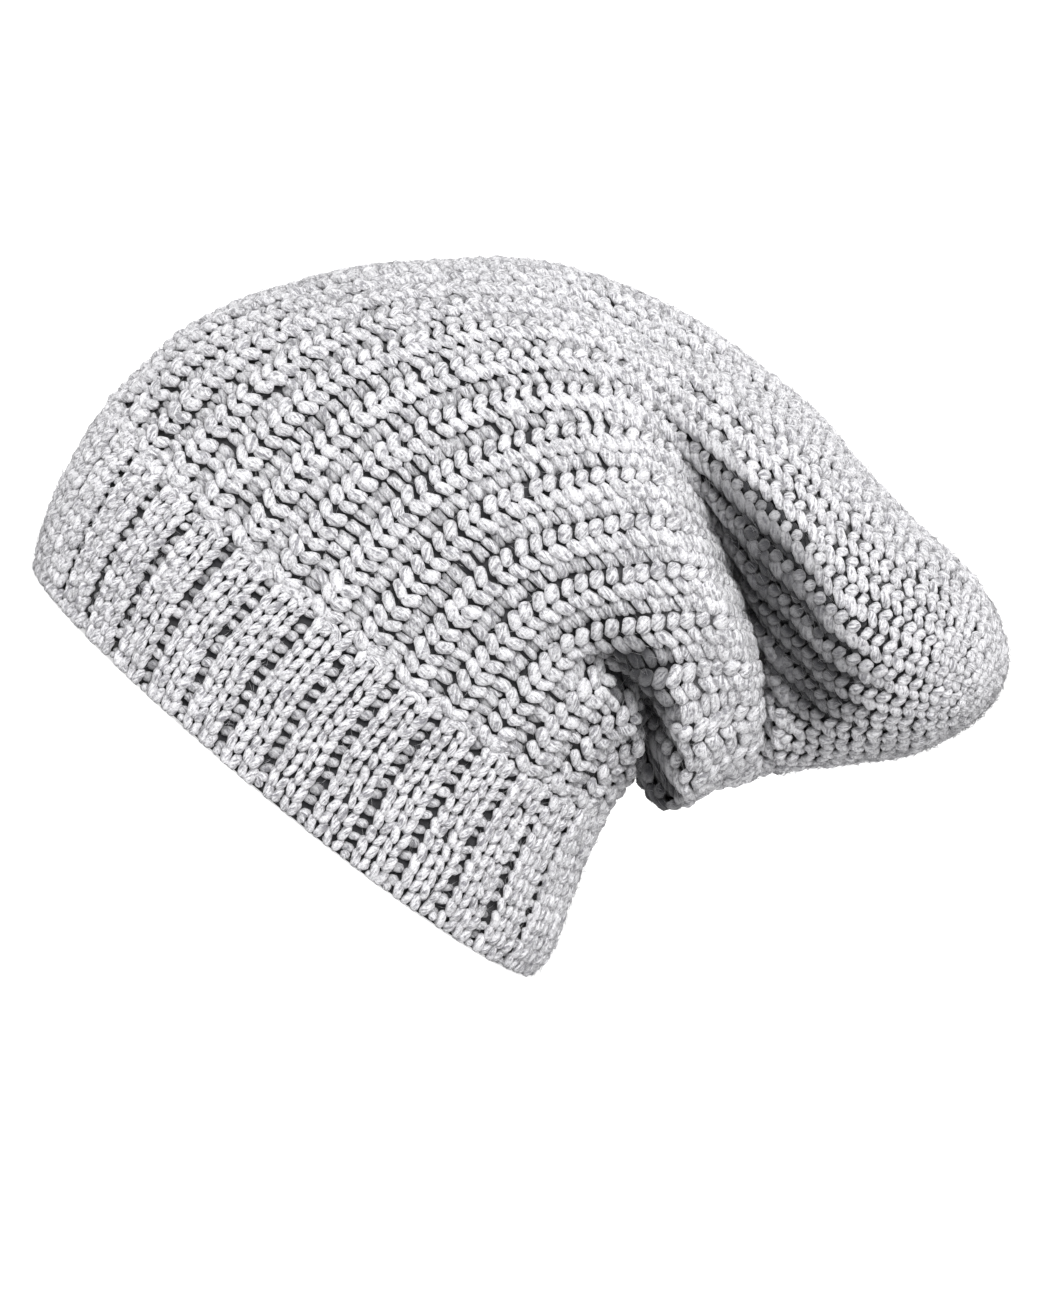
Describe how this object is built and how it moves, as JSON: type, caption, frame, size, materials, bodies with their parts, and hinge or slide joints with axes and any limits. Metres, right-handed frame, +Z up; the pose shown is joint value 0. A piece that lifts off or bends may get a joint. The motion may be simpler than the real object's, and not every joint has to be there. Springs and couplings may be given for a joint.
{
  "type": "slouchy knitted beanie",
  "caption": "Soft ribbed knit hat standing on its rim: a ribbed band round the head and a long hollow crown that folds over the nape into a gathered, slouching tip.",
  "frame": {"origin": "middle of the hat's bounding box, on the plane that the rim stands on", "axes": "+Z up out of the rim plane, forehead towards -X, slouching tail towards +X, near side in the picture towards -Y"},
  "size_m": [0.269, 0.1678, 0.1898],
  "materials": {
    "band_knit": "soft marled light grey wool yarn, matt and slightly fuzzy, knitted in close ribs",
    "crown_knit": "the same soft marled light grey wool yarn, knitted in wide plump columns with open valleys between them"
  },
  "bodies": {
    "root": {"ribbed_brim": "band_knit", "slouch_crown": "crown_knit"}
  },
  "joints": []
}
